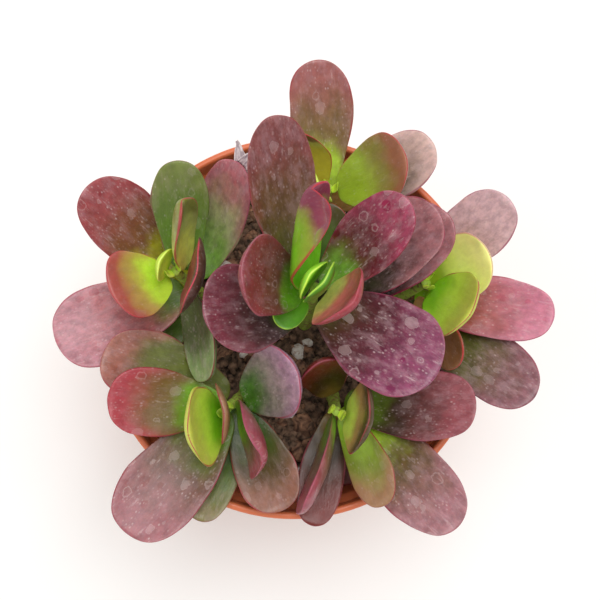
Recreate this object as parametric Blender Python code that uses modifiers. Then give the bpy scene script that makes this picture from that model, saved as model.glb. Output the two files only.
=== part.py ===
"""A jade-type succulent (Crassula) of six leafy shoots, growing in a round plastic nursery pot.

The model is in metres, +Z up. Its origin is the centre of the pot's flat underside, and the
pot stands on z = 0. The sizes below are in millimetres and degrees, and mm() makes them metres.
"""
from math import cos, pi, radians, sin

import bmesh
import bpy
from mathutils import Matrix, Vector, noise

COLLECTION = "potted_succulent"

# ---- Pot ----------------------------------------------------------------------------------
RIM_DIAMETER = 130.0        # over the rolled rim
POT_HEIGHT = 100.0
BASE_DIAMETER = 92.0
WALL = 1.4
FLOOR = 2.0
RIM_WIDTH = 2.4             # flat top of the rim, seen from above
RIM_BAND = 11.0             # how far the rim's band hangs down outside
RIM_STEP = 1.6              # how far the band stands out from the wall below it
LEDGE_DEPTH = 9.0           # from the rim's top to the step inside
LEDGE_WIDTH = 1.0
RIM_ROUND = 0.9
FOOT_ROUND = 2.0
DRAIN_HOLES = 8
DRAIN_DIAMETER = 8.0
DRAIN_CIRCLE = 66.0

# ---- Soil ---------------------------------------------------------------------------------
SOIL_DEPTH = 22.0           # from the rim's top down to the soil
SOIL_BUMP = 1.6             # how high its crumbs stand
SOIL_BUMP_WAVE = 9.0        # how far apart they are
CLEARANCE = 0.3             # between pieces that touch

# ---- Shoots -------------------------------------------------------------------------------
STEM_DIAMETER = 6.0         # at the soil
STEM_TOP_DIAMETER = 3.2
STEM_SOCKET = 14.0          # how deep a stem goes into the soil
CROWN_DEPTH = 22.0          # from the rim's top down to the level that heights below start from
LEAF_THICKNESS = 3.4        # of a full-grown leaf
BUD_THICKNESS = 0.55        # of the smallest leaf, as a share of a full-grown one's
GROWN_LENGTH = 30.0         # a leaf this long has its full thickness
LEAF_ROUNDNESS = 0.62       # share of the thickness that is on the underside
LEAF_CUP = 0.10             # how far the margins lift, as a share of the leaf's width
BASE_POWER = 1.15           # how slowly a leaf widens from its base; less is blunter
CLASP = 0.38                # how much of its width belongs to the blunt base that hugs the stem
CLASP_POWER = 0.30          # how slowly that blunt base widens
TIP_POWER = 0.42            # the same from its tip
FACE_POWER = 0.6            # how slowly its thickness follows its width; less is blunter

# Each shoot: where it stands (x, y), where its tip is over that (x, y, height over the crown
# level), which of its leaves are still lime green, and its leaves from the lowest to the newest.
# A leaf is:
#   height of its base over the crown level, side of the stem it grows from, turn of its tip from
#   that side, rise of its tip above level, length, width, roll about its length, curl (bow of its
#   length, as a share of it)
SHOOTS = {
    "centre": dict(foot=(4, 2), lean=(3, 4), height=60, lime=(10, 12, 13, 14), leaves=[
        (26, 33, 0, 22, 52, 20, 0, 0.04),
        (34, 20, 8, 34, 52, 22, 0, 0.05),
        (30, 86, -6, 22, 32, 19, 0, 0.05),
        (39, 31, 0, 37, 49, 23, 0, 0.05),
        (38, -170, 0, 36, 36, 27, 0, 0.05),
        (46, 105, 0, 35, 55, 23, 24, 0.06),
        (46, -35, 0, 19, 43, 28, 0, 0.02),
        (52, 172, 0, 62, 35, 23, 0, 0.05),
        (52, 41, 0, 42, 41, 19, 0, 0.05),
        (56, 112, 0, 67, 37, 21, 38, 0.05),
        (58, -38, 0, 71, 27, 22, 0, 0.05),
        (61, 142, 0, 88, 15, 13, 0, 0.0),
        (61, -38, 0, 88, 17, 14, 0, 0.0),
        (48, -140, 0, 25, 13, 9, 0, 0.0),
    ]),
    "left": dict(foot=(-30, 10), lean=(-8, 5), height=37, lime=(8, 10), leaves=[
        (14, 138, 0, 31, 49, 24, 0, 0.05),
        (10, -135, 0, 8, 24, 16, 0, 0.05),
        (20, -154, 0, 13, 46, 27, 0, 0.03),
        (19, 65, 0, 37, 45, 20, -20, 0.05),
        (28, 90, 0, 31, 37, 19, 0, 0.05),
        (29, -74, 0, 16, 34, 18, 50, 0.05),
        (34, 40, 44, 56, 29, 16, 72, 0.05),
        (34, -157, 0, 42, 23, 23, 0, 0.05),
        (33, -50, 37, 76, 29, 24, 0, 0.05),
        (36, 160, 0, 86, 11, 11, 0, 0.0),
    ]),
    "front_left": dict(foot=(-16, -22), lean=(-5, -7), height=33, lime=(8, 9), leaves=[
        (16, -106, 0, 19, 40, 16, 0, 0.03),
        (17, 161, 0, 22, 45, 24, 0, 0.04),
        (25, -128, 0, 15, 50, 26, 0, 0.04),
        (23, -64, 0, 11, 36, 20, 0, 0.05),
        (24, 24, 0, 54, 33, 23, 0, 0.05),
        (28, 178, 0, 20, 37, 22, 0, 0.05),
        (28, -50, -5, 55, 29, 25, 65, 0.05),
        (30, -139, 0, 67, 25, 24, -32, 0.05),
        (34, -90, 97, 88, 12, 19, 0, 0.0),
    ]),
    "front_right": dict(foot=(14, -24), lean=(0, -6), height=36, lime=(7, 8), leaves=[
        (15, -46, 0, 22, 55, 24, 0, 0.02),
        (8, -80, 0, 4, 27, 15, 0, 0.04),
        (21, -1, 0, 20, 44, 23, 0, 0.05),
        (19, -101, 0, 14, 38, 15, 0, 0.03),
        (24, 112, 0, 68, 27, 16, 0, 0.05),
        (26, -109, 0, 26, 35, 18, 84, 0.05),
        (31, -36, -29, 17, 32, 15, 30, 0.05),
        (33.5, -30, 19, 77, 25, 22, 0, 0.05),
    ]),
    "right": dict(foot=(32, 8), lean=(11, 3), height=38, lime=(5, 6), leaves=[
        (15, -41, 0, 22, 54, 23, 0, 0.02),
        (22, -12, 0, 18, 46, 21, 0, 0.03),
        (26, 43, 0, 21, 41, 21, 0, 0.05),
        (27, -63, 0, 23, 28, 14, 50, 0.05),
        (30, 20, 0, 48, 27, 21, 0, 0.05),
        (36, -50, 0, 57, 24, 23, 20, 0.05),
    ]),
    "back": dict(foot=(8, 38), lean=(4, 5), height=35, lime=(5,), leaves=[
        (18, 26, 0, 20, 41, 21, 0, 0.04),
        (24, 93, 0, 25, 44, 21, 0, 0.05),
        (32, 11, 0, 46, 30, 23, 0, 0.05),
        (32, 160, -28, 52, 26, 20, -25, 0.05),
        (34, 211, 0, 86, 13, 11, 0, 0.0),
    ]),
}

# ---- Fineness of the meshes ----------------------------------------------------------------
POT_STEPS = 56
SOIL_STEPS = 36
SOIL_RINGS = 7
STEM_SIDES = 10
LEAF_SIDES = 12
LEAF_RINGS = 8


def mm(value):
    return value / 1000.0


def material(name, colour, roughness):
    """A plain surface: a Principled BSDF with one colour and one roughness."""
    surface = bpy.data.materials.new(name)
    surface.use_nodes = True
    shader = surface.node_tree.nodes["Principled BSDF"]
    shader.inputs["Base Color"].default_value = (*colour, 1.0)
    shader.inputs["Roughness"].default_value = roughness
    shader.inputs["Metallic"].default_value = 0.0
    return surface


def add_object(name, data, collection, surface=None):
    """Put a mesh or a curve in the collection under the name its piece has."""
    item = bpy.data.objects.new(name, data)
    collection.objects.link(item)
    if surface is not None:
        data.materials.append(surface)
    return item


def evaluated_mesh(item):
    """The object's shape with its modifiers applied, as a mesh of its own."""
    bpy.context.view_layer.update()
    graph = bpy.context.evaluated_depsgraph_get()
    return bpy.data.meshes.new_from_object(item.evaluated_get(graph))


def turned(name, profile, steps, collection, surface):
    """Spin a profile of (radius, height) points round Z. It runs down the piece's outer side."""
    form = bmesh.new()
    points = [form.verts.new((mm(radius), 0.0, mm(height))) for radius, height in profile]
    for upper, lower in zip(points, points[1:]):
        form.edges.new((upper, lower))
    mesh = bpy.data.meshes.new(name)
    form.to_mesh(mesh)
    form.free()
    item = add_object(name, mesh, collection, surface)
    screw = item.modifiers.new("turn", "SCREW")
    screw.axis = "Z"
    screw.angle = 2 * pi
    screw.steps = steps
    screw.render_steps = steps
    screw.use_merge_vertices = True
    screw.merge_threshold = 0.00001
    screw.use_smooth_shade = True
    return item


def subtract(item, cutter):
    """Cut one shape out of another and keep the cutter out of the model."""
    cutter.hide_render = True
    cutter.display_type = "WIRE"
    cut = item.modifiers.new("cut_" + cutter.name, "BOOLEAN")
    cut.operation = "DIFFERENCE"
    cut.object = cutter


def quarter(centre_radius, centre_height, radius, start):
    """Four points of a quarter round, clockwise from the angle start (degrees)."""
    turns = [radians(start - 30.0 * step) for step in range(4)]
    return [(centre_radius + radius * cos(turn), centre_height + radius * sin(turn)) for turn in turns]


# ---- Pot ----------------------------------------------------------------------------------
def outer_radius(height):
    """Outside of the pot's tapered wall at a height."""
    under_rim = RIM_DIAMETER / 2 - RIM_STEP
    return BASE_DIAMETER / 2 + (under_rim - BASE_DIAMETER / 2) * height / POT_HEIGHT


def inner_radius(height):
    """Inside of the tapered wall at a height."""
    return outer_radius(height) - WALL


def pot_profile():
    rim = RIM_DIAMETER / 2
    bore = rim - RIM_WIDTH
    ledge = POT_HEIGHT - LEDGE_DEPTH
    band = POT_HEIGHT - RIM_BAND
    profile = [(0.0, FLOOR), (inner_radius(FLOOR), FLOOR)]
    profile.append((inner_radius(ledge - LEDGE_WIDTH), ledge - LEDGE_WIDTH))
    profile.append((bore - LEDGE_WIDTH / 2, ledge))
    profile.append((bore, POT_HEIGHT - RIM_ROUND))
    profile.append((bore + RIM_ROUND / 2, POT_HEIGHT))
    profile.extend(quarter(rim - RIM_ROUND, POT_HEIGHT - RIM_ROUND, RIM_ROUND, 90.0))
    profile.append((rim - RIM_ROUND / 2, band))
    profile.append((outer_radius(band), band - RIM_ROUND))
    foot = outer_radius(FOOT_ROUND)
    profile.extend(quarter(foot - FOOT_ROUND, FOOT_ROUND, FOOT_ROUND, 0.0))
    profile.append((0.0, 0.0))
    return profile


def build_pot(collection, cutters):
    plastic = material("terracotta_plastic", (0.60, 0.115, 0.030), 0.42)
    pot = turned("pot", pot_profile(), POT_STEPS, collection, plastic)
    drill = bmesh.new()
    for hole in range(DRAIN_HOLES):
        turn = Matrix.Rotation(2 * pi * (hole + 0.5) / DRAIN_HOLES, 4, "Z")
        place = turn @ Matrix.Translation((mm(DRAIN_CIRCLE / 2), 0.0, mm(FLOOR / 2)))
        radius = mm(DRAIN_DIAMETER / 2)
        bmesh.ops.create_cone(drill, cap_ends=True, segments=12, radius1=radius, radius2=radius,
                              depth=mm(FLOOR * 2), matrix=place)
    mesh = bpy.data.meshes.new("drain_drill")
    drill.to_mesh(mesh)
    drill.free()
    subtract(pot, add_object("drain_drill", mesh, cutters))


# ---- Soil ---------------------------------------------------------------------------------
def soil_height():
    return POT_HEIGHT - SOIL_DEPTH


def crown_height():
    return POT_HEIGHT - CROWN_DEPTH


def soil_profile():
    """From the middle of the top, out in rings, down beside the wall and back under."""
    top = soil_height()
    edge = inner_radius(top) - CLEARANCE
    bottom = FLOOR + CLEARANCE
    profile = [(edge * ring / SOIL_RINGS, top) for ring in range(SOIL_RINGS + 1)]
    profile.append((inner_radius(bottom) - CLEARANCE, bottom))
    profile.append((0.0, bottom))
    return profile


def build_soil(collection, cutters):
    peat = material("peat_mix", (0.045, 0.022, 0.012), 0.95)
    turned_soil = turned("soil", soil_profile(), SOIL_STEPS, collection, peat)
    mesh = evaluated_mesh(turned_soil)
    bpy.data.objects.remove(turned_soil)
    soil = add_object("soil", mesh, collection)
    edge = inner_radius(soil_height()) - CLEARANCE
    outer_ring = mm(edge * (1 - 0.5 / SOIL_RINGS))
    for vertex in mesh.vertices:
        flat = Vector((vertex.co.x, vertex.co.y, 0.0))
        on_top = vertex.co.z > mm(soil_height() - CLEARANCE)
        if on_top and flat.length < outer_ring:
            vertex.co.z += mm(SOIL_BUMP) * noise.noise(flat / mm(SOIL_BUMP_WAVE))
    sockets = bmesh.new()
    for shoot in SHOOTS.values():
        radius = mm(STEM_DIAMETER / 2 + CLEARANCE)
        depth = mm(STEM_SOCKET + CLEARANCE)
        mouth = stem_point(shoot, soil_height() - crown_height())
        place = Matrix.Translation(mouth) @ stem_tilt(shoot)
        bmesh.ops.create_cone(sockets, cap_ends=True, segments=STEM_SIDES, radius1=radius,
                              radius2=radius, depth=2 * depth, matrix=place)
    socket_mesh = bpy.data.meshes.new("stem_sockets")
    sockets.to_mesh(socket_mesh)
    sockets.free()
    subtract(soil, add_object("stem_sockets", socket_mesh, cutters))


# ---- Stems --------------------------------------------------------------------------------
def stem_point(shoot, height):
    """The point on a shoot's axis at a height (mm) over the crown level, in metres."""
    share = height / shoot["height"]
    foot = Vector((*shoot["foot"], crown_height()))
    return mm(1.0) * (foot + Vector((*shoot["lean"], shoot["height"])) * share)


def stem_tilt(shoot):
    """The turn that lays +Z along the shoot's leaning axis."""
    axis = Vector((*shoot["lean"], shoot["height"]))
    return axis.to_track_quat("Z", "Y").to_matrix().to_4x4()


def stem_radius(shoot, height):
    share = max(0.0, height) / shoot["height"]
    return (STEM_DIAMETER + (STEM_TOP_DIAMETER - STEM_DIAMETER) * share) / 2


def build_stem(name, shoot, collection, surface):
    """A tapered tube from its socket in the soil to just under the newest leaves."""
    length = Vector((*shoot["lean"], shoot["height"])).length
    buried = STEM_SOCKET + (crown_height() - soil_height()) * length / shoot["height"]
    form = bmesh.new()
    rounded = bmesh.ops.create_cone(
        form, cap_ends=True, segments=STEM_SIDES, radius1=mm(STEM_DIAMETER / 2),
        radius2=mm(STEM_TOP_DIAMETER / 2), depth=mm(length + buried))
    lift = Vector((0.0, 0.0, mm(length - buried) / 2))
    bmesh.ops.translate(form, verts=rounded["verts"], vec=lift)
    mesh = bpy.data.meshes.new(name)
    form.to_mesh(mesh)
    form.free()
    mesh.shade_smooth()
    stem = add_object(name, mesh, collection, surface)
    stem.matrix_world = Matrix.Translation(stem_point(shoot, 0.0)) @ stem_tilt(shoot)
    return stem


# ---- Leaves -------------------------------------------------------------------------------
def leaf_swell(along):
    """How wide a leaf is at a share of its length, before the widest place is made 1."""
    widening = along ** BASE_POWER * (1 - CLASP) + along ** CLASP_POWER * CLASP
    return widening * (1 - along) ** TIP_POWER


WIDEST_SWELL = max(leaf_swell(step / 100) for step in range(101))


def leaf_outline(along):
    """Half-width of a leaf, 0 to 1, at a share of its length: blunt base, broad round tip."""
    return leaf_swell(along) / WIDEST_SWELL


def leaf_mesh(name, length, width, thickness, curl):
    """A round ball drawn out along +X, flattened to a leaf, cupped across and bowed along."""
    form = bmesh.new()
    bmesh.ops.create_uvsphere(form, u_segments=LEAF_SIDES, v_segments=LEAF_RINGS, radius=1.0)
    for vertex in form.verts:
        along = (1 + max(-1.0, min(1.0, vertex.co.z))) / 2
        girth = vertex.co.xy.length
        across, lift = (vertex.co.y / girth, -vertex.co.x / girth) if girth > 1e-6 else (0.0, 0.0)
        outline = leaf_outline(along)
        half_width = width / 2 * outline
        share = LEAF_ROUNDNESS if lift < 0 else 1 - LEAF_ROUNDNESS
        depth = thickness * outline ** FACE_POWER * share
        bow = -4 * curl * length * along * (1 - along)
        cup = LEAF_CUP * width * across * across * outline
        vertex.co = Vector((mm(length * along), mm(half_width * across), mm(depth * lift + bow + cup)))
    mesh = bpy.data.meshes.new(name)
    form.to_mesh(mesh)
    form.free()
    mesh.shade_smooth()
    return mesh


def build_leaf(name, shoot, leaf, holder, collection, surface):
    """Seat one leaf on its stem: its base just clears the bark and its tip points where it grew."""
    height, side, turn, rise, length, width, roll, curl = leaf
    growth = min(1.0, BUD_THICKNESS + (1 - BUD_THICKNESS) * length / GROWN_LENGTH)
    thickness = LEAF_THICKNESS * growth
    item = add_object(name, leaf_mesh(name, length, width, thickness, curl), collection, surface)
    item.parent = holder
    on_stem = stem_radius(shoot, height) if height < shoot["height"] else 0.0
    reach = on_stem + CLEARANCE + thickness * 0.5 * sin(radians(rise))
    seat = stem_point(shoot, height) - stem_point(shoot, 0.0)
    outward = Vector((cos(radians(side)), sin(radians(side)), 0.0))
    item.location = seat + mm(reach) * outward
    item.rotation_euler = (radians(roll), radians(-rise), radians(side + turn))


def build_shoots(collection):
    bark = material("green_stem", (0.20, 0.24, 0.07), 0.6)
    grown = material("burgundy_leaf", (0.22, 0.045, 0.055), 0.45)
    young = material("lime_leaf", (0.28, 0.50, 0.04), 0.4)
    for title, shoot in SHOOTS.items():
        holder = bpy.data.objects.new("shoot_" + title, None)
        collection.objects.link(holder)
        holder.location = stem_point(shoot, 0.0)
        build_stem("stem_" + title, shoot, collection, bark)
        for number, leaf in enumerate(shoot["leaves"], start=1):
            surface = young if number in shoot["lime"] else grown
            build_leaf(f"leaf_{title}_{number}", shoot, leaf, holder, collection, surface)


def build():
    for item in list(bpy.data.objects):
        bpy.data.objects.remove(item)
    collection = bpy.data.collections.new(COLLECTION)
    cutters = bpy.data.collections.new("cutters")
    bpy.context.scene.collection.children.link(collection)
    bpy.context.scene.collection.children.link(cutters)
    build_pot(collection, cutters)
    build_soil(collection, cutters)
    build_shoots(collection)


build()
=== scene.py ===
"""The looks of a potted jade-type succulent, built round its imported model."""
import random
from math import cos, pi, radians, sin

import bmesh
import bpy
import numpy as np
from mathutils import Euler, Matrix, Vector, noise


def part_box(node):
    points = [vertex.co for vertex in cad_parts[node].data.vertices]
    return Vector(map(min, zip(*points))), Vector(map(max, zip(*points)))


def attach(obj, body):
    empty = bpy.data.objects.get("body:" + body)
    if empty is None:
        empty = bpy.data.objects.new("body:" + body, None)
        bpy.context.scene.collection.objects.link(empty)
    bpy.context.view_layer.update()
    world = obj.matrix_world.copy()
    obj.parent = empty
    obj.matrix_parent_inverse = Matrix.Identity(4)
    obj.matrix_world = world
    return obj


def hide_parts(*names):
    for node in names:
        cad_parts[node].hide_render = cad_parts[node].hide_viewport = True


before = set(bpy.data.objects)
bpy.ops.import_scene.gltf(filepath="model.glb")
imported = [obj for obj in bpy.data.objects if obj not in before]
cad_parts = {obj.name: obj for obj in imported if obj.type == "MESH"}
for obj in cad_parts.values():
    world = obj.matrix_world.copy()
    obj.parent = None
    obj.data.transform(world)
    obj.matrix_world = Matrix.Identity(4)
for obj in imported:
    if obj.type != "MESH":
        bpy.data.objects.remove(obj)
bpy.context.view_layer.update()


# ---- Stage ----------------------------------------------------------------------------------
# A studio table top in a pale room: a plain white paper sweep, a broad soft box overhead and a
# weaker one to the left. The camera stands 28 cm above the rim and 3 cm in front of the pot's
# middle, and looks steeply down into the leaves.
def linear(code):
    """An sRGB hex colour as linear red, green, blue and alpha."""
    channels = [int(code[i:i + 2], 16) / 255.0 for i in (1, 3, 5)]
    return (*[c / 12.92 if c <= 0.04045 else ((c + 0.055) / 1.055) ** 2.4 for c in channels], 1.0)


def node(tree, kind, settings=None, inputs=None):
    """Add a node, set its properties, and set or link its inputs."""
    new = tree.nodes.new(kind)
    for key, value in (settings or {}).items():
        setattr(new, key, value)
    for key, value in (inputs or {}).items():
        if isinstance(value, bpy.types.NodeSocket):
            tree.links.new(value, new.inputs[key])
        else:
            new.inputs[key].default_value = value
    return new


def surface(name):
    """A new material with its node tree and its shader."""
    made = bpy.data.materials.new(name)
    made.use_nodes = True
    return made, made.node_tree, made.node_tree.nodes["Principled BSDF"]


def show(form, name, material):
    """Turn a bmesh into a smooth-shaded piece whose object sits at the origin."""
    mesh = bpy.data.meshes.new(name)
    form.to_mesh(mesh)
    form.free()
    mesh.shade_smooth()
    mesh.materials.append(material)
    piece = bpy.data.objects.new(name, mesh)
    bpy.context.scene.collection.objects.link(piece)
    return piece


table_size = 6.0
form = bmesh.new()
bmesh.ops.create_grid(form, x_segments=1, y_segments=1, size=table_size / 2)
paper, tree, shader = surface("matt_white_paper_sweep")
grain = node(tree, "ShaderNodeTexNoise", inputs={"Scale": 3.0, "Detail": 2.0})
tint = node(tree, "ShaderNodeMix", {"data_type": "RGBA"},
            {0: grain.outputs["Fac"], 6: linear("#f7f7f5"), 7: linear("#fbfbfa")})
tree.links.new(tint.outputs[2], shader.inputs["Base Color"])
shader.inputs["Roughness"].default_value = 0.9
table = show(form, "table", paper)

world = bpy.data.worlds.new("pale_room")
bpy.context.scene.world = world
world.use_nodes = True
world.node_tree.nodes["Background"].inputs["Color"].default_value = linear("#fbfbf9")
world.node_tree.nodes["Background"].inputs["Strength"].default_value = 0.68
bpy.context.scene.view_settings.view_transform = "Standard"


def soft_box(name, place, aim, width, power):
    """A square soft light at a place, turned to shine at a point."""
    lamp = bpy.data.lights.new(name, "AREA")
    lamp.shape = "SQUARE"
    lamp.size = width
    lamp.energy = power
    holder = bpy.data.objects.new(name, lamp)
    bpy.context.scene.collection.objects.link(holder)
    holder.location = place
    holder.rotation_euler = (Vector(aim) - Vector(place)).to_track_quat("-Z", "Y").to_euler()


plant_middle = (0.0, 0.0, 0.12)
soft_box("overhead_soft_box", (0.20, 0.30, 1.25), plant_middle, width=0.8, power=9.2)
soft_box("left_fill", (-1.1, -0.3, 0.8), plant_middle, width=0.8, power=2.5)

steepness = radians(82.0)
aim_point = Vector((0.0024, 0.0076, 0.100))
camera_distance = 0.283
camera_data = bpy.data.cameras.new("camera")
camera_data.lens = 50.0
camera_data.sensor_width = 36.0
camera_data.clip_start = 0.01
camera = bpy.data.objects.new("camera", camera_data)
bpy.context.scene.collection.objects.link(camera)
camera.location = aim_point + camera_distance * Vector((0.0, -cos(steepness), sin(steepness)))
camera.rotation_euler = Euler((pi / 2 - steepness, 0.0, 0.0))
bpy.context.scene.camera = camera


# ---- Pot ------------------------------------------------------------------------------------
# A thin-walled nursery pot, injection moulded in terracotta-coloured polypropylene. A rolled rim
# with a hanging band stiffens the mouth, a step inside lets empty pots nest, and round holes
# near the edge of the base let the water out.
def polypropylene():
    """Polypropylene with a fine moulded matt grain and faint scuffs: it glows a little and has
    broad soft highlights."""
    made, tree, shader = surface("terracotta_polypropylene")
    place = node(tree, "ShaderNodeTexCoord").outputs["Object"]
    cloud = node(tree, "ShaderNodeTexNoise", inputs={"Vector": place, "Scale": 40.0, "Detail": 3.0})
    colour = node(tree, "ShaderNodeMix", {"data_type": "RGBA"},
                  {0: cloud.outputs["Fac"], 6: linear("#d2683e"), 7: linear("#de7a50")})
    scuff = node(tree, "ShaderNodeTexNoise", inputs={"Vector": place, "Scale": 320.0, "Detail": 4.0})
    worn = node(tree, "ShaderNodeMapRange",
                inputs={0: scuff.outputs["Fac"], 1: 0.56, 2: 0.80, 3: 0.0, 4: 0.22})
    tone = node(tree, "ShaderNodeMix", {"data_type": "RGBA"},
                {0: worn.outputs[0], 6: colour.outputs[2], 7: linear("#e8a890")})
    tree.links.new(tone.outputs[2], shader.inputs["Base Color"])
    rough = node(tree, "ShaderNodeMapRange",
                 inputs={0: scuff.outputs["Fac"], 1: 0.3, 2: 0.7, 3: 0.34, 4: 0.5})
    tree.links.new(rough.outputs[0], shader.inputs["Roughness"])
    shader.inputs["IOR"].default_value = 1.49
    shader.inputs["Subsurface Weight"].default_value = 0.08
    shader.inputs["Subsurface Scale"].default_value = 0.002
    bump = node(tree, "ShaderNodeBump",
                inputs={"Height": scuff.outputs["Fac"], "Strength": 0.12, "Distance": 0.0002})
    tree.links.new(bump.outputs[0], shader.inputs["Normal"])
    return made


pot_low, pot_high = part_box("pot")
rim_radius = (pot_high.x - pot_low.x) / 2
pot_height = pot_high.z
base_radius = 0.046
wall = 0.0014
floor_thickness = 0.002
rim_width = 0.0024
band_height = 0.011
band_step = 0.0016
ledge_depth = 0.009
pot_steps = 144
drain_hole_count = 8
drain_circle_radius = 0.033
drain_hole_radius = 0.004
drill_length = 0.004


def wall_radius(height):
    """Outside radius of the tapered wall at a height."""
    return base_radius + (rim_radius - band_step - base_radius) * height / pot_height


ledge = pot_height - ledge_depth
bore = rim_radius - rim_width
pot_line = [
    (0.0, floor_thickness), (wall_radius(0.0) - wall - 0.002, floor_thickness),
    (wall_radius(0.003) - wall, floor_thickness + 0.001),
    (wall_radius(0.05) - wall, 0.05), (wall_radius(ledge - 0.002) - wall, ledge - 0.002),
    (wall_radius(ledge) - wall, ledge - 0.0008), (bore - 0.0008, ledge), (bore, ledge + 0.0006),
    (bore, pot_height - 0.0011), (bore + 0.0003, pot_height - 0.0003), (bore + 0.0008, pot_height),
    (rim_radius - 0.0009, pot_height), (rim_radius - 0.0003, pot_height - 0.0003),
    (rim_radius, pot_height - 0.0009), (rim_radius - 0.0004, pot_height - band_height),
    (rim_radius - 0.0007, pot_height - band_height - 0.0003),
    (wall_radius(pot_height - band_height), pot_height - band_height - 0.0005),
    (wall_radius(0.06), 0.06), (wall_radius(0.0035), 0.0035),
    (wall_radius(0.001) - 0.0002, 0.001), (wall_radius(0.0) - 0.0010, 0.0002),
    (wall_radius(0.0) - 0.0020, 0.0), (0.0, 0.0)]
form = bmesh.new()
line = [form.verts.new((radius, 0.0, height)) for radius, height in pot_line]
edges = [form.edges.new(pair) for pair in zip(line, line[1:])]
bmesh.ops.spin(form, geom=line + edges, cent=(0, 0, 0), axis=(0, 0, 1), angle=2 * pi,
               steps=pot_steps, use_merge=True)
bmesh.ops.remove_doubles(form, verts=form.verts[:], dist=1e-6)
bmesh.ops.recalc_face_normals(form, faces=form.faces[:])
pot = show(form, "nursery_pot", polypropylene())
drill_form = bmesh.new()
for number in range(drain_hole_count):
    turn = Matrix.Rotation(2 * pi * (number + 0.5) / drain_hole_count, 4, "Z")
    place = turn @ Matrix.Translation((drain_circle_radius, 0, floor_thickness / 2))
    bmesh.ops.create_cone(drill_form, cap_ends=True, segments=32, radius1=drain_hole_radius,
                          radius2=drain_hole_radius, depth=drill_length, matrix=place)
drill_mesh = bpy.data.meshes.new("drain_drill")
drill_form.to_mesh(drill_mesh)
drill_form.free()
drill = bpy.data.objects.new("drain_drill", drill_mesh)
bpy.context.scene.collection.objects.link(drill)
cut = pot.modifiers.new("drain_holes", "BOOLEAN")
cut.operation = "DIFFERENCE"
cut.object = drill
bpy.context.view_layer.update()
drilled = bpy.data.meshes.new_from_object(pot.evaluated_get(bpy.context.evaluated_depsgraph_get()))
pot.modifiers.clear()
pot.data = drilled
bpy.data.objects.remove(drill)
pot.data.set_sharp_from_angle(angle=radians(50))
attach(pot, "root")
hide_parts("pot")


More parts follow.
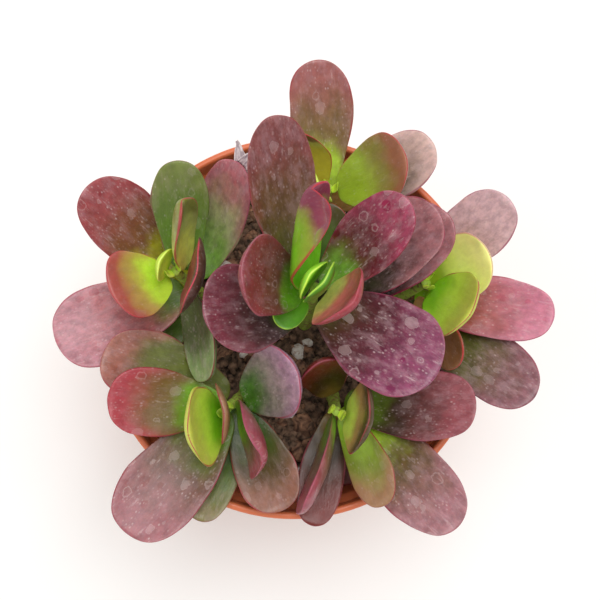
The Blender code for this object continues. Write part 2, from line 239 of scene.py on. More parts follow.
# ---- Leaves ---------------------------------------------------------------------------------
# Thick, juicy, paddle-shaped leaves in opposite pairs, growing straight from the stems. Sun has
# turned the full-grown ones burgundy over olive green, a thin wax bloom makes them mauve, and
# dried drops of hard water leave pale rings. The newest ones are still lime green. Each one is
# a fine ball drawn over its own leaf of the model.
def leaf_skin(name, base, middle, tip, margin, reach, bloom, drop_and_highlight_strength):
    """Living leaf skin: a waxy cuticle over coloured cells. The colour runs from the base, which
    keeps its own as far as reach, to the tip. Bloom pales it in specks, pale streaks along it are
    painted highlights, and dried drops leave rings, chalky patches and spots where the bloom was
    washed off."""
    made, tree, shader = surface(name)
    place = node(tree, "ShaderNodeAttribute", {"attribute_name": "leaf_mm"}).outputs["Vector"]
    along = node(tree, "ShaderNodeAttribute", {"attribute_name": "along"}).outputs["Fac"]
    edge = node(tree, "ShaderNodeAttribute", {"attribute_name": "edge_mm"}).outputs["Fac"]

    def maths(operation, first, second=0.0, third=0.0):
        return node(tree, "ShaderNodeMath", {"operation": operation},
                    {0: first, 1: second, 2: third}).outputs[0]

    def ranged(value, low, high, start=0.0, end=1.0):
        return node(tree, "ShaderNodeMapRange", {"interpolation_type": "SMOOTHSTEP"},
                    {0: value, 1: low, 2: high, 3: start, 4: end}).outputs[0]

    def mixed(factor, first, second):
        return node(tree, "ShaderNodeMix", {"data_type": "RGBA"},
                    {0: factor, 6: first, 7: second}).outputs[2]

    def cloud(size_mm, detail=2.0, stretch=1.0, roughness=0.5):
        drawn = node(tree, "ShaderNodeMapping",
                     inputs={"Vector": place, "Scale": (1.0, 1.0 / stretch, 1.0)})
        return node(tree, "ShaderNodeTexNoise",
                    inputs={"Vector": drawn.outputs[0], "Scale": 1.0 / size_mm,
                            "Detail": detail, "Roughness": roughness}).outputs["Fac"]

    def cells(size_mm, stretch=1.0, spread=1.0):
        drawn = node(tree, "ShaderNodeMapping",
                     inputs={"Vector": place, "Scale": (1.0, 1.0 / stretch, 1.0)})
        found = node(tree, "ShaderNodeTexVoronoi", {"feature": "F1"},
                     {"Vector": drawn.outputs[0], "Scale": 1.0 / size_mm, "Randomness": spread})
        lots = node(tree, "ShaderNodeSeparateColor", inputs={"Color": found.outputs["Color"]})
        return found.outputs["Distance"], lots.outputs[0], lots.outputs[1]

    # Three colours along the leaf, with an uneven border, a flushed margin and a soft mottle.
    drift = maths("MULTIPLY_ADD", cloud(9.0, 3.0), 0.36, -0.18)
    flush = ranged(edge, 4.5, 0.0, 0.0, 0.14)
    reached = maths("ADD", maths("ADD", along, drift), flush)
    lower = ranged(reached, reach - 0.14, reach + 0.16)
    upper = ranged(reached, reach + 0.12, 0.92)
    skin = mixed(upper, mixed(lower, linear(base), linear(middle)), linear(tip))
    mottle = ranged(cloud(2.2, 6.0, 1.5, 0.65), 0.3, 0.7, 0.95 - 0.85 * bloom, 1.05 + 0.55 * bloom)
    skin = node(tree, "ShaderNodeHueSaturation", inputs={"Color": skin, "Value": mottle}).outputs[0]

    # Dried drops: washed, chalky or ringed discs up to 4 mm across, and spots up to 2 mm.
    wobble = maths("MULTIPLY_ADD", cloud(1.6, 4.0), 0.36, -0.18)
    distance, kind, width = cells(4.6, 1.3, 0.8)
    inside = maths("SUBTRACT", maths("MULTIPLY_ADD", width, 0.26, 0.12), maths("ADD", distance, wobble))
    disc = ranged(inside, 0.0, 0.10)
    ring = maths("MULTIPLY", ranged(inside, -0.03, 0.015), ranged(inside, 0.09, 0.02))
    washed = maths("MULTIPLY", disc, maths("GREATER_THAN", kind, 0.70))
    chalky = maths("MULTIPLY", disc, maths("LESS_THAN", kind, 0.26))
    ringed = maths("MULTIPLY", ring, maths("LESS_THAN", kind, 0.40))
    near, draw, spread = cells(2.3, 1.4, 0.8)
    small = maths("SUBTRACT", maths("MULTIPLY_ADD", spread, 0.22, 0.12), maths("ADD", near, wobble))
    small = maths("MULTIPLY", ranged(small, 0.0, 0.12), maths("LESS_THAN", draw, 0.34))

    # Wax bloom, which the washed discs lack.
    haze = maths("MULTIPLY", ranged(cloud(3.0, 7.0, 2.0, 0.7), 0.42, 0.68),
                 ranged(reached, reach - 0.1, reach + 0.3, 0.06, 1.0))
    haze = maths("MULTIPLY", haze, maths("SUBTRACT", 1.0, washed))
    waxy = mixed(maths("MULTIPLY", haze, bloom), skin, linear("#cfaab2"))
    deep = node(tree, "ShaderNodeHueSaturation",
                inputs={"Color": skin, "Saturation": 1.25, "Value": 0.85}).outputs[0]
    waxy = mixed(maths("MULTIPLY", washed, drop_and_highlight_strength * 0.8), waxy, deep)
    # Lime specks, pale streaks along the leaf that are painted highlights, and all lime and painted
    # highlights together.
    gap, lot, other = cells(0.8, 1.5)
    crowd = ranged(cloud(4.5, 3.0), 0.42, 0.62, 0.15, 1.0)
    speck = maths("MULTIPLY", ranged(gap, 0.50, 0.08), maths("GREATER_THAN", lot, 0.4))
    speck = maths("MULTIPLY", maths("MULTIPLY", speck, crowd), ranged(other, 0.2, 1.0, 0.1, 0.6))
    # Pale streaks stretched along the leaf: a painted highlight, specular sheen painted into the
    # colour.
    painted_highlight_streak = maths("MULTIPLY", ranged(cloud(0.9, 4.0, 5.0, 0.6), 0.55, 0.72, 0.0, 0.4),
                   ranged(cloud(6.0, 2.0), 0.45, 0.6))
    lime_and_painted_highlight = maths("MAXIMUM", maths("MULTIPLY", ringed, 0.30), maths("MULTIPLY", chalky, 0.24))
    lime_and_painted_highlight = maths("MAXIMUM", lime_and_painted_highlight, maths("MULTIPLY", maths("MULTIPLY", small, crowd), 0.26))
    lime_and_painted_highlight = maths("MULTIPLY", maths("MAXIMUM", lime_and_painted_highlight, maths("MAXIMUM", speck, painted_highlight_streak)), drop_and_highlight_strength)
    # One pale colour paints both the dried lime and the painted highlight streaks.
    marks_and_painted_highlights = mixed(lime_and_painted_highlight, waxy, linear("#e2cccb"))
    # The coloured margin, about half a millimetre wide.
    rim = maths("MULTIPLY", ranged(edge, 0.46, 0.14), ranged(along, 0.05, 0.3, 0.1, 0.85))
    finished = mixed(rim, marks_and_painted_highlights, linear(margin))
    tree.links.new(finished, shader.inputs["Base Color"])
    gloss = maths("ADD", ranged(haze, 0.0, 1.0, 0.34, 0.5), maths("MULTIPLY", lime_and_painted_highlight, 0.2))
    tree.links.new(gloss, shader.inputs["Roughness"])
    shader.inputs["IOR"].default_value = 1.42
    shader.inputs["Coat Weight"].default_value = 0.12
    shader.inputs["Coat Roughness"].default_value = 0.22
    shader.inputs["Subsurface Weight"].default_value = 0.15
    shader.inputs["Subsurface Radius"].default_value = (1.0, 0.5, 0.2)
    shader.inputs["Subsurface Scale"].default_value = 0.002
    furrows = maths("MULTIPLY_ADD", cloud(1.4, 3.0, 3.5), 1.2, maths("MULTIPLY", lime_and_painted_highlight, 0.4))
    pores = maths("MULTIPLY_ADD", cloud(0.55, 3.0), 0.5, furrows)
    relief = node(tree, "ShaderNodeBump",
                  inputs={"Height": pores, "Strength": 0.5, "Distance": 0.0002})
    tree.links.new(relief.outputs[0], shader.inputs["Normal"])
    return made


# Skins by name: base, middle, tip and margin colours, how far up the base colour reaches, and
# how strong the wax bloom and the dried drops with the painted highlight streaks are. Some skins
# are painted darker or brighter than the leaf, as painted shade or painted light.
skin_looks = {
    "brown_plum": ("#5c6428", "#644a2a", "#7e3e3c", "#8c2432", 0.34, 0.22, 0.60),
    "crimson": ("#4e4422", "#4c1a22", "#823a5a", "#8c3c54", 0.24, 0.26, 0.90),
    "magenta": ("#74a436", "#64242c", "#a03a58", "#8c2038", 0.32, 0.26, 0.85),
    "mauve": ("#42422a", "#403026", "#aa7074", "#8a2040", 0.36, 0.30, 0.50),
    "wine": ("#4a6a24", "#483030", "#7c3846", "#8c4856", 0.26, 0.20, 0.80),
    "rolled_wine": ("#66ac1c", "#683e2e", "#84303a", "#9c5460", 0.28, 0.14, 0.60),
    "grass_wine": ("#7ccc20", "#8a9a30", "#84344a", "#b42834", 0.60, 0.06, 0.20),
    # This skin's base and middle are painted light: painted paler than the leaf on its steep, shaded
    # base.
    "lime_rose": ("#e4e078", "#e0706c", "#98363e", "#a84450", 0.38, 0.10, 0.30),
    "new_lime": ("#84d018", "#a8e82c", "#80bc28", "#d0f050", 0.30, 0.02, 0.00),
    # This skin is painted shade: a darker copy of the new lime skin for the two newest centre leaves,
    # which lie covered by others.
    "young_lime": ("#589418", "#589818", "#549020", "#b0d848", 0.30, 0.02, 0.00),
    # This skin's middle is painted light: painted brighter than the leaf to offset the shade on it.
    "bud_lime": ("#c0ec38", "#e0fa54", "#b4d040", "#e0f470", 0.30, 0.02, 0.00),
    "grey_bloom": ("#4c7c24", "#92887c", "#a87e96", "#a83c52", 0.30, 0.32, 0.60),
    # This dark skin is painted shade: painted darker than the leaf for leaves lying in the shade of
    # others.
    "dusk": ("#7c6428", "#3a2404", "#6c2018", "#984050", 0.26, 0.02, 0.20),
    "lime_red": ("#b8dc3c", "#b0944a", "#aa5048", "#b02c3c", 0.44, 0.05, 0.20),
    "grass": ("#5c7c28", "#5a7028", "#727e3c", "#703c3a", 0.50, 0.10, 0.35),
    "red_olive": ("#b8bc28", "#764a2c", "#984448", "#8c2434", 0.34, 0.18, 0.70),
    "dusty_rose": ("#5c7824", "#b06468", "#b47680", "#9c4050", 0.26, 0.28, 0.60),
    "green_rose": ("#7cac40", "#a4a872", "#aa5c64", "#a85468", 0.38, 0.24, 0.40),
    "grey_green": ("#4c5c28", "#445028", "#80965e", "#8a2c3c", 0.40, 0.16, 0.45),
    "yellow_sage": ("#dce468", "#b8c468", "#84883e", "#a83040", 0.50, 0.08, 0.25),
    "sage": ("#4c6a2c", "#5a7030", "#82784a", "#84303c", 0.46, 0.14, 0.40),
    "deep_red": ("#983840", "#9c3c44", "#543428", "#c83c50", 0.20, 0.10, 0.35),
    # This skin is painted light: painted brighter than the leaf for leaves that stand edge-on in shade.
    "lime_leaf": ("#84c41c", "#bce044", "#c0c850", "#a4343c", 0.34, 0.03, 0.12),
    "crimson_lime": ("#70a024", "#6c5424", "#a43640", "#8c1c30", 0.38, 0.08, 0.55),
    "olive_mauve": ("#747e34", "#6e743a", "#a46a5c", "#a03c50", 0.48, 0.20, 0.45),
    "rosy": ("#5c7818", "#6c4234", "#98585e", "#8c2c40", 0.38, 0.18, 0.80),
    "folded_rose": ("#7ca42e", "#7a5c44", "#96404c", "#a04c60", 0.34, 0.14, 0.45),
    "pale_tip": ("#3c5810", "#544420", "#926452", "#a02c3c", 0.40, 0.14, 0.40),
    "lime_olive": ("#9cc038", "#7a8a2c", "#98704c", "#901c30", 0.44, 0.05, 0.25),
    "olive_brown": ("#c4dc58", "#b08c50", "#4c3c18", "#901c30", 0.40, 0.05, 0.25),
    "brown_rose": ("#627e18", "#40281c", "#964c54", "#904054", 0.28, 0.20, 0.60),
    "olive_rose": ("#bce63c", "#6a5230", "#9e686e", "#903c50", 0.36, 0.24, 0.70),
    # This skin's middle and tip are partly the young leaf's pale lemon and partly painted light,
    # painted near white for light shining through.
    "lemon": ("#a0c828", "#e4f870", "#f4f090", "#c07078", 0.30, 0.02, 0.05),
    "pale_dusty": ("#7c683c", "#ac8686", "#c8a2a6", "#9c5468", 0.22, 0.26, 0.50),
    "brown_pale": ("#a4783c", "#54442e", "#d2b0a8", "#9c5468", 0.46, 0.22, 0.50),
    "bright_rose": ("#8ccc20", "#98483a", "#c4748a", "#98304a", 0.22, 0.18, 0.55),
    "mauve_olive": ("#565a20", "#585424", "#825058", "#903c50", 0.40, 0.26, 0.55),
    "maroon": ("#cc9c5c", "#885030", "#845838", "#c02c38", 0.24, 0.06, 0.25),
    "mauve_brown": ("#b0d040", "#785e34", "#9c5c58", "#98303c", 0.36, 0.16, 0.60),
    "green_brown": ("#98b030", "#867c30", "#965c3e", "#b42434", 0.50, 0.05, 0.25),
    "lime_brown": ("#b8a838", "#a8a84c", "#745c28", "#b02434", 0.70, 0.04, 0.20),
    "dark_olive": ("#445c24", "#54742c", "#544c2a", "#b42430", 0.50, 0.04, 0.15),
}
# Which skin each shoot's leaves have, in the model's order: from the lowest to the newest.
leaf_skins = {
    "centre": "mauve mauve dark_olive mauve wine brown_plum crimson rolled_wine magenta grass_wine "
              "lime_rose new_lime young_lime young_lime",
    "left": "red_olive grass dusty_rose green_rose grass grey_green yellow_sage lime_red deep_red "
            "bud_lime",
    "front_left": "sage olive_mauve rosy pale_tip grey_bloom crimson_lime folded_rose lime_leaf "
                  "lime_olive",
    "front_right": "olive_rose dusk brown_rose dusk dusk folded_rose lime_olive olive_brown",
    "right": "mauve_olive bright_rose pale_dusty maroon lemon lime_leaf",
    "back": "brown_pale mauve_brown green_brown lime_brown bud_lime",
}
skins = {title: leaf_skin("leaf_skin_" + title, *look) for title, look in skin_looks.items()}
# A leaf of the model has eight steps from base to tip, and this share of its thickness lies above
# its margin. The fine ball has more faces round and along it.
ring_count = 8
top_share = 0.38
fine_around = 48
fine_along = 60
margin_wave = 0.10
face_wave = 0.09


def stem_line(shoot):
    """The two ends of a shoot's stem, from its node in the model."""
    points = [vertex.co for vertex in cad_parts["stem_" + shoot].data.vertices]
    middle = sum(point.z for point in points) / len(points)
    low = [point for point in points if point.z < middle]
    high = [point for point in points if point.z >= middle]
    return sum(low, Vector()) / len(low), sum(high, Vector()) / len(high)


def off_line(point, line):
    """How far a point is from a line between two points."""
    start, end = line
    share = max(0.0, min(1.0, (point - start).dot(end - start) / (end - start).length_squared))
    return (point - start.lerp(end, share)).length


def leaf_rings(name, line):
    """The left, right, top and bottom points of each ring of a leaf's node, from base to tip."""
    form = bmesh.new()
    form.from_mesh(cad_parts[name].data)
    bmesh.ops.remove_doubles(form, verts=form.verts[:], dist=1e-5)
    poles = sorted(form.verts, key=lambda vertex: -len(vertex.link_edges))[:2]
    poles.sort(key=lambda vertex: off_line(vertex.co, line))
    rings = [[poles[0]]]
    seen = {poles[0]}
    while len(rings) <= ring_count:
        following = {edge.other_vert(vertex) for vertex in rings[-1] for edge in vertex.link_edges}
        rings.append(sorted(following - seen, key=lambda vertex: vertex.index))
        seen |= following
    forward = (poles[1].co - poles[0].co).normalized()
    sections = []
    for ring in rings:
        points = [vertex.co.copy() for vertex in ring]
        if len(points) == 1:
            sections.append((points[0],) * 4)
            continue
        pairs = [(a, b) for a in points for b in points]
        one, other = max(pairs, key=lambda pair: (pair[0] - pair[1]).length)
        across = (one - other).normalized()
        centre = sum(points, Vector()) / len(points)
        middle = (one + other) / 2
        facing = forward.cross(across)
        lifted = (middle - centre).dot(facing) > 0
        left, right = (one, other) if lifted else (other, one)
        facing = facing if lifted else -facing
        inner = sorted(points, key=lambda point: abs((point - middle).dot(across)))[:2]
        inner.sort(key=lambda point: point.dot(facing))
        sections.append((left, right, inner[1], inner[0]))
    form.free()
    return sections


def smooth_rows(sections, count):
    """Rows of left, right, top and bottom points on smooth curves through a leaf's rings."""
    table = np.array([[list(point) for point in section] for section in sections])
    # Past each end the curves turn over to the other side of the leaf.
    swap = [1, 0, 3, 2]
    padded = np.concatenate([table[1:2, swap], table, table[-2:-1, swap]])
    rows = []
    for step in range(count + 1):
        place = step / count * (len(sections) - 1)
        start = min(int(place), len(sections) - 2)
        t = place - start
        a, b, c, d = padded[start:start + 4]
        rows.append(0.5 * (2 * b + (c - a) * t + (2 * a - 5 * b + 4 * c - d) * t * t
                           + (3 * b - a - 3 * c + d) * t ** 3))
    return rows


# Leaves whose margins roll together towards the tip, and how far: the left one and the right one.
rolled_tips = {"leaf_centre_10": (0.95, 0.12), "leaf_centre_11": (0.12, 0.12),
               "leaf_left_7": (0.25, 0.25), "leaf_front_left_7": (0.20, 0.20),
               "leaf_back_4": (0.20, 0.20)}
# Leaves that lean over at the tip, and how far in metres.
leaning_tips = {"leaf_centre_10": (0.0055, 0.0050, 0.0)}


def build_leaf(name, line, skin, seed):
    """Draw a fine ball over one leaf: blunt base, broad round tip, thin margin, wavy faces."""
    rows = smooth_rows(leaf_rings(name, line), fine_along)
    outline = np.array([row[0] for row in rows] + [row[1] for row in reversed(rows)])
    form = bmesh.new()
    bmesh.ops.create_uvsphere(form, u_segments=fine_around, v_segments=fine_along, radius=1.0)
    leaf_layer = form.verts.layers.float_vector.new("leaf_mm")
    along_layer = form.verts.layers.float.new("along")
    edge_layer = form.verts.layers.float.new("edge_mm")
    rolls = rolled_tips.get(name, (0.0, 0.0))
    lean = np.array(leaning_tips.get(name, (0.0, 0.0, 0.0)))
    length = np.linalg.norm((rows[-1][0] - rows[0][0])) * 1000.0
    for vertex in form.verts:
        level = np.arcsin(max(-1.0, min(1.0, vertex.co.z))) / pi + 0.5
        left, right, top, bottom = rows[round(level * fine_along)]
        girth = (vertex.co.x ** 2 + vertex.co.y ** 2) ** 0.5
        side, lift = (vertex.co.y / girth, -vertex.co.x / girth) if girth > 1e-5 else (0.0, 0.0)
        along = (1 - cos(pi * level)) / 2
        middle = (left + right) / 2
        depth = top - bottom
        cup = depth * top_share - (top - middle)
        rise = depth * (top_share if lift > 0 else 1 - top_share)
        share = min(1.0, max(0.0, along / 0.85 - 0.1))
        roll = rolls[0] if side > 0 else rolls[1]
        closed = roll * (share * share * (3 - 2 * share) - 0.25 * (1 - share))
        uneven = noise.noise(Vector((along * 3.2, 3.0 if side > 0 else 9.0, seed)))
        half_width = (left - right) / 2 * (1 + margin_wave * uneven * abs(side))
        lifted = np.linalg.norm(half_width) * max(0.0, closed) * 0.8 * side * side
        upward = depth / max(1e-9, np.linalg.norm(depth))
        spot = (middle - cup + cup * side * side + half_width * side * (1 - closed)
                + rise * lift + upward * lifted + lean * along * along)
        vertex.co = Vector(spot)
        across = side * np.linalg.norm(half_width) * 1000.0
        vertex[leaf_layer] = (across, along * length, seed + (7.0 if lift < 0 else 0.0))
        vertex[along_layer] = along
        vertex[edge_layer] = (1 - abs(side)) * np.linalg.norm(half_width) * 1000.0
    thickness = max(float(np.linalg.norm(row[2] - row[3])) for row in rows)
    form.normal_update()
    shift = Vector((seed, 0.0, 0.0))
    for vertex in form.verts:
        wave = noise.noise(vertex.co * 90.0 + shift) + 0.4 * noise.noise(vertex.co * 240.0)
        vertex.co += vertex.normal * wave * thickness * face_wave
    # On a flat leaf the margin colour follows the real outline, round the tip too.
    if not any(rolls):
        places = np.array([vertex.co[:] for vertex in form.verts])
        nearest = np.min(np.linalg.norm(places[:, None] - outline[None], axis=2), axis=1)
        for vertex, gap in zip(form.verts, nearest):
            vertex[edge_layer] = gap * 1000.0
    leaf = show(form, "blade_" + name.removeprefix("leaf_"), skins[skin])
    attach(leaf, "root")
    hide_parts(name)


# The seed moves the marks and the waves from leaf to leaf.
for shoot, names in leaf_skins.items():
    line = stem_line(shoot)
    for number, skin in enumerate(names.split(), start=1):
        build_leaf(f"leaf_{shoot}_{number}", line, skin, number * 31.7 + len(shoot) * 113.0)


# ---- Growing points -------------------------------------------------------------------------
# At the top of five shoots stands the next pair of leaves, six millimetres long, slightly open,
# juicy and bright lime. Each pair is turned its own way, in degrees.
bud_length = 0.0062
bud_width = 0.0034
bud_thickness = 0.0011
bud_bow = 0.0009
bud_offset = 0.0006
bud_sunk = 0.0008
bud_opening = radians(14.0)
bud_turns = {"left": 70, "front_left": -10, "front_right": 60, "right": 75, "back": 120}
for shoot, turn in bud_turns.items():
    foot, top = stem_line(shoot)
    form = bmesh.new()
    bmesh.ops.create_uvsphere(form, u_segments=24, v_segments=20, radius=0.5)
    leaf_layer = form.verts.layers.float_vector.new("leaf_mm")
    along_layer = form.verts.layers.float.new("along")
    edge_layer = form.verts.layers.float.new("edge_mm")
    for vertex in form.verts:
        side, lift, along = vertex.co.x, vertex.co.y, vertex.co.z + 0.5
        vertex[leaf_layer] = (side * bud_width * 1000.0, along * bud_length * 1000.0, float(turn))
        vertex[along_layer] = along
        vertex[edge_layer] = (0.5 - abs(side)) * 2.0
        bow = bud_bow * sin(pi * along)
        vertex.co = Vector((side * bud_width * (1.15 - 0.3 * along),
                            lift * bud_thickness + bow + bud_offset, along * bud_length))
    opening = Matrix.Rotation(-bud_opening, 3, "X")
    bmesh.ops.rotate(form, cent=(0, 0, 0), matrix=opening, verts=form.verts[:])
    half = bmesh.ops.duplicate(form, geom=form.verts[:] + form.edges[:] + form.faces[:])
    twin = [item for item in half["geom"] if isinstance(item, bmesh.types.BMVert)]
    bmesh.ops.rotate(form, cent=(0, 0, 0), matrix=Matrix.Rotation(pi, 3, "Z"), verts=twin)
    upward = (top - foot).normalized()
    lean = upward.to_track_quat("Z", "Y").to_matrix().to_4x4()
    form.transform(Matrix.Translation(top - upward * bud_sunk) @ lean
                   @ Matrix.Rotation(radians(turn), 4, "Z"))
    bmesh.ops.recalc_face_normals(form, faces=form.faces[:])
    # The hearts share the bud skin, whose middle is painted brighter as painted light.
    heart = show(form, "heart_" + shoot, skins["bud_lime"])
    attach(heart, "root")


# ---- Dry leaf tips --------------------------------------------------------------------------
# One leaf at the back left has dried at its tip. Two scraps of dead skin are left there, thin as
# paper, curled and pale lilac grey.
def dry_skin():
    """Dead leaf skin: papery, dull and streaked lengthwise."""
    made, tree, shader = surface("dry_leaf_paper")
    place = node(tree, "ShaderNodeAttribute", {"attribute_name": "leaf_mm"}).outputs["Vector"]
    drawn = node(tree, "ShaderNodeMapping", inputs={"Vector": place, "Scale": (1.0, 0.25, 1.0)})
    streaks = node(tree, "ShaderNodeTexNoise",
                   inputs={"Vector": drawn.outputs[0], "Scale": 1.6, "Detail": 5.0})
    colours = node(tree, "ShaderNodeValToRGB", inputs={"Fac": streaks.outputs["Fac"]})
    ramp = colours.color_ramp
    ramp.elements[0].position = 0.32
    ramp.elements[0].color = linear("#9c8a94")
    ramp.elements[1].position = 0.66
    ramp.elements[1].color = linear("#f0e2e0")
    tree.links.new(colours.outputs["Color"], shader.inputs["Base Color"])
    shader.inputs["Roughness"].default_value = 0.6
    relief = node(tree, "ShaderNodeBump",
                  inputs={"Height": streaks.outputs["Fac"], "Strength": 0.6, "Distance": 0.0003})
    tree.links.new(relief.outputs[0], shader.inputs["Normal"])
    return made


dry_paper = dry_skin()
paper_thickness = 0.0003
scrap_end_width = 0.0002
scrap_crumple = 0.0006
scrap_rise = 0.0015


def dry_tip(name, root, reach, width, curl):
    """A curled, pointed scrap of dry skin that starts in a leaf and reaches out of it."""
    form = bmesh.new()
    bmesh.ops.create_grid(form, x_segments=10, y_segments=16, size=1.0)
    layer = form.verts.layers.float_vector.new("leaf_mm")
    forward = reach.normalized()
    across = forward.cross(Vector((0.0, 0.0, 1.0))).normalized()
    upward = across.cross(forward)
    for vertex in form.verts:
        side, along = vertex.co.x, (vertex.co.y + 1) / 2
        half = width / 2 * (1 - along ** 1.6) + scrap_end_width
        bend = curl * side
        crumple = scrap_crumple * noise.noise(Vector((side * 1.5, along * 4.0, width * 900.0)))
        vertex[layer] = (side * half * 1000.0, along * reach.length * 1000.0, width * 5000.0)
        vertex.co = (root + forward * along * reach.length + across * sin(bend) / curl * half
                     + upward * ((1 - cos(bend)) / curl * half + crumple
                                 + scrap_rise * along * along))
    bmesh.ops.recalc_face_normals(form, faces=form.faces[:])
    bmesh.ops.solidify(form, geom=form.faces[:], thickness=paper_thickness)
    bmesh.ops.recalc_face_normals(form, faces=form.faces[:])
    scrap = show(form, name, dry_paper)
    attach(scrap, "root")


dried = leaf_rings("leaf_left_4", stem_line("left"))
dry_root = sum(dried[-2], Vector()) / 4
dry_tip("dry_tip_inner", root=dry_root + Vector((0.0024, 0.0004, -0.0012)),
        reach=Vector((0.0062, 0.0050, 0.0040)), width=0.0058, curl=1.1)
dry_tip("dry_tip_outer", root=dry_root + Vector((0.0018, 0.0010, -0.0014)),
        reach=Vector((-0.0014, 0.0072, 0.0030)), width=0.0050, curl=1.2)


# ---- Stems ----------------------------------------------------------------------------------
# Short green stems, still juicy, flecked with brown cork. Old pairs of leaves have left rings
# round them.
def stem_skin():
    """Young bark: green with corky brown flecks."""
    made, tree, shader = surface("young_bark")
    place = node(tree, "ShaderNodeTexCoord").outputs["Object"]
    fleck = node(tree, "ShaderNodeTexNoise", inputs={"Vector": place, "Scale": 700.0, "Detail": 5.0})
    patch = node(tree, "ShaderNodeMapRange", inputs={0: fleck.outputs["Fac"], 1: 0.5, 2: 0.66})
    colour = node(tree, "ShaderNodeMix", {"data_type": "RGBA"},
                  {0: patch.outputs[0], 6: linear("#a8c44c"), 7: linear("#8c7040")})
    tree.links.new(colour.outputs[2], shader.inputs["Base Color"])
    shader.inputs["Roughness"].default_value = 0.62
    relief = node(tree, "ShaderNodeBump",
                  inputs={"Height": fleck.outputs["Fac"], "Strength": 0.6, "Distance": 0.0004})
    tree.links.new(relief.outputs[0], shader.inputs["Normal"])
    return made


bark = stem_skin()
ring_gap = 0.008
stem_foot_radius = 0.0029
stem_top_radius = 0.0015
stem_share = 0.93
plain_end = 0.001
for shoot in leaf_skins:
    low, high = stem_line(shoot)
    length = (high - low).length
    form = bmesh.new()
    bmesh.ops.create_cone(form, cap_ends=True, segments=24, radius1=stem_foot_radius,
                          radius2=stem_top_radius, depth=length)
    sides = [edge for edge in form.edges if abs(edge.verts[0].co.z - edge.verts[1].co.z) > length / 2]
    bmesh.ops.subdivide_edges(form, edges=sides, cuts=60, use_grid_fill=True)
    for vertex in form.verts:
        height = vertex.co.z + length / 2
        ridge = max(0.0, cos(2 * pi * height / ring_gap)) ** 8
        swell = 1.0 + 0.10 * ridge + 0.10 * noise.noise(vertex.co * 300.0)
        if plain_end < height < length - plain_end:
            vertex.co.x *= swell * stem_share
            vertex.co.y *= swell * stem_share
    turn = (high - low).to_track_quat("Z", "Y").to_matrix().to_4x4()
    form.transform(Matrix.Translation((low + high) / 2) @ turn)
    bmesh.ops.recalc_face_normals(form, faces=form.faces[:])
    stem = show(form, "bark_" + shoot, bark)
    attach(stem, "root")
    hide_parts("stem_" + shoot)


# ---- Soil -----------------------------------------------------------------------------------
# Peat potting mix with composted bark and white perlite grains, pressed in by hand and watered
# many times, so its top is crumbly and uneven.
def peat():
    """Moist peat: dark brown and dull, with paler dry crumbs."""
    made, tree, shader = surface("moist_peat")
    place = node(tree, "ShaderNodeTexCoord").outputs["Object"]
    lumps = node(tree, "ShaderNodeTexNoise", inputs={"Vector": place, "Scale": 420.0, "Detail": 8.0})
    colours = node(tree, "ShaderNodeValToRGB", inputs={"Fac": lumps.outputs["Fac"]})
    ramp = colours.color_ramp
    ramp.elements[0].position = 0.35
    ramp.elements[0].color = linear("#382a20")
    ramp.elements[1].position = 0.72
    ramp.elements[1].color = linear("#a4826a")
    tree.links.new(colours.outputs["Color"], shader.inputs["Base Color"])
    shader.inputs["Roughness"].default_value = 0.95
    relief = node(tree, "ShaderNodeBump",
                  inputs={"Height": lumps.outputs["Fac"], "Strength": 0.9, "Distance": 0.0015})
    tree.links.new(relief.outputs[0], shader.inputs["Normal"])
    return made


soil_low, soil_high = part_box("soil")
crumb_room = 0.0015
soil_gap = 0.0004
foot_gap = 0.0022
underside_lift = 0.001
soil_rings = 70
soil_steps = 220
soil_level = soil_high.z - crumb_room
soil_radius = wall_radius(soil_level) - wall - soil_gap
foot_radius = wall_radius(soil_low.z) - wall - foot_gap
form = bmesh.new()
soil_line = [form.verts.new((soil_radius * step / soil_rings, 0.0, soil_level))
             for step in range(soil_rings + 1)]
soil_line.append(form.verts.new((foot_radius, 0.0, soil_low.z + underside_lift)))
soil_line.append(form.verts.new((0.0, 0.0, soil_low.z + underside_lift)))
soil_edges = [form.edges.new(pair) for pair in zip(soil_line, soil_line[1:])]
bmesh.ops.spin(form, geom=soil_line + soil_edges, cent=(0, 0, 0), axis=(0, 0, 1), angle=2 * pi,
               steps=soil_steps, use_merge=True)
bmesh.ops.remove_doubles(form, verts=form.verts[:], dist=1e-6)
bmesh.ops.recalc_face_normals(form, faces=form.faces[:])


def soil_lift(x, y):
    """Height of the crumbly top over the mean level at a place."""
    flat = Vector((x, y, 0.0))
    return (0.0012 * noise.noise(flat * 110.0) + 0.0009 * noise.noise(flat * 330.0)
            + 0.0005 * noise.noise(flat * 900.0))


for vertex in form.verts:
    if vertex.co.z > soil_level - 1e-5:
        away = (vertex.co.x ** 2 + vertex.co.y ** 2) ** 0.5
        fade = min(1.0, (soil_radius - away) / 0.002 + 0.3)
        vertex.co.z += soil_lift(vertex.co.x, vertex.co.y) * fade
peat_surface = peat()
soil = show(form, "potting_soil", peat_surface)
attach(soil, "root")
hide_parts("soil")

stem_feet = [stem_line(shoot)[0].lerp(stem_line(shoot)[1], 0.25) for shoot in leaf_skins]
stem_room = 0.0045


def free_place(pick, size, low):
    """A random place on the soil, at least low from its middle, off the stems and the wall."""
    reach = soil_radius - size
    while True:
        away = (pick.uniform(low ** 2, reach ** 2)) ** 0.5
        angle = pick.uniform(0, 2 * pi)
        x, y = away * cos(angle), away * sin(angle)
        if all((foot.xy - Vector((x, y))).length > size + stem_room for foot in stem_feet):
            return x, y


# Lumps are added in batches of this many, because adding to one large bmesh is slow.
batch = 30


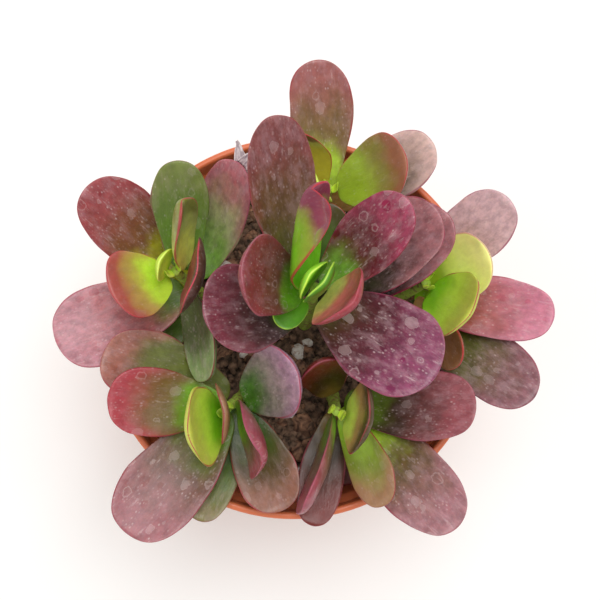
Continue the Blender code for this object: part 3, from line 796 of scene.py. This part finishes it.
def scatter(name, material, count, smallest, largest, squash, seed, rough, low=0.0):
    """Strew lumps over the soil, each a low ball knocked out of round and half bedded in."""
    pick = random.Random(seed)
    heap = bmesh.new()
    form = bmesh.new()
    for number in range(count):
        size = pick.uniform(smallest, largest)
        x, y = free_place(pick, size, low)
        lump = bmesh.ops.create_icosphere(form, subdivisions=2 if size > 0.0014 else 1, radius=size)
        shape = Matrix.Diagonal((pick.uniform(0.75, 1.2), pick.uniform(0.6, 1.0), squash, 1.0))
        tilt = Euler([pick.uniform(-0.5, 0.5), pick.uniform(-0.5, 0.5), pick.uniform(0, 6.3)])
        shift = Vector((pick.random(), pick.random(), pick.random())) * 40
        for vertex in lump["verts"]:
            vertex.co *= 1 + rough * noise.noise(vertex.co / size * 1.4 + shift)
        height = soil_level + soil_lift(x, y) + size * squash * 0.35
        place = Matrix.Translation((x, y, height)) @ tilt.to_matrix().to_4x4() @ shape
        bmesh.ops.transform(form, matrix=place, verts=lump["verts"])
        if number % batch == batch - 1 or number == count - 1:
            mesh = bpy.data.meshes.new("batch")
            form.to_mesh(mesh)
            form.clear()
            heap.from_mesh(mesh)
            bpy.data.meshes.remove(mesh)
    form.free()
    piece = show(heap, name, material)
    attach(piece, "root")


def perlite():
    """Expanded volcanic glass: chalk-white foam grains with peat dust in the pores."""
    made, tree, shader = surface("perlite_grains")
    place = node(tree, "ShaderNodeTexCoord").outputs["Object"]
    pores = node(tree, "ShaderNodeTexNoise", inputs={"Vector": place, "Scale": 900.0, "Detail": 4.0})
    dust = node(tree, "ShaderNodeMapRange", inputs={0: pores.outputs["Fac"], 1: 0.50, 2: 0.72})
    colour = node(tree, "ShaderNodeMix", {"data_type": "RGBA"},
                  {0: dust.outputs[0], 6: linear("#efe9e2"), 7: linear("#b59a84")})
    tree.links.new(colour.outputs[2], shader.inputs["Base Color"])
    shader.inputs["Roughness"].default_value = 0.85
    relief = node(tree, "ShaderNodeBump",
                  inputs={"Height": pores.outputs["Fac"], "Strength": 0.8, "Distance": 0.0006})
    tree.links.new(relief.outputs[0], shader.inputs["Normal"])
    return made


def bark_chip():
    """Composted pine bark: fibrous, reddish brown, with paler broken faces."""
    made, tree, shader = surface("composted_bark")
    place = node(tree, "ShaderNodeTexCoord").outputs["Object"]
    fibre = node(tree, "ShaderNodeTexNoise",
                 inputs={"Vector": place, "Scale": 260.0, "Detail": 6.0, "Distortion": 1.5})
    colours = node(tree, "ShaderNodeValToRGB", inputs={"Fac": fibre.outputs["Fac"]})
    ramp = colours.color_ramp
    ramp.elements[0].position = 0.34
    ramp.elements[0].color = linear("#4a3022")
    ramp.elements[1].position = 0.66
    ramp.elements[1].color = linear("#b98a6c")
    tree.links.new(colours.outputs["Color"], shader.inputs["Base Color"])
    shader.inputs["Roughness"].default_value = 0.8
    relief = node(tree, "ShaderNodeBump",
                  inputs={"Height": fibre.outputs["Fac"], "Strength": 0.8, "Distance": 0.0008})
    tree.links.new(relief.outputs[0], shader.inputs["Normal"])
    return made


scatter("peat_crumbs", peat_surface, count=1500, smallest=0.0006, largest=0.0022, squash=0.75,
        seed=3, rough=0.5)
scatter("bark_chips", bark_chip(), count=120, smallest=0.0022, largest=0.0052, squash=0.34,
        seed=5, rough=0.55)
foam_glass = perlite()
scatter("perlite", foam_glass, count=150, smallest=0.0012, largest=0.0034, squash=0.8,
        seed=9, rough=0.35)
# Perlite floats, so watering gathers the bigger grains along the wall.
scatter("perlite_at_wall", foam_glass, count=34, smallest=0.0022, largest=0.0036, squash=0.8,
        seed=11, rough=0.35, low=0.048)
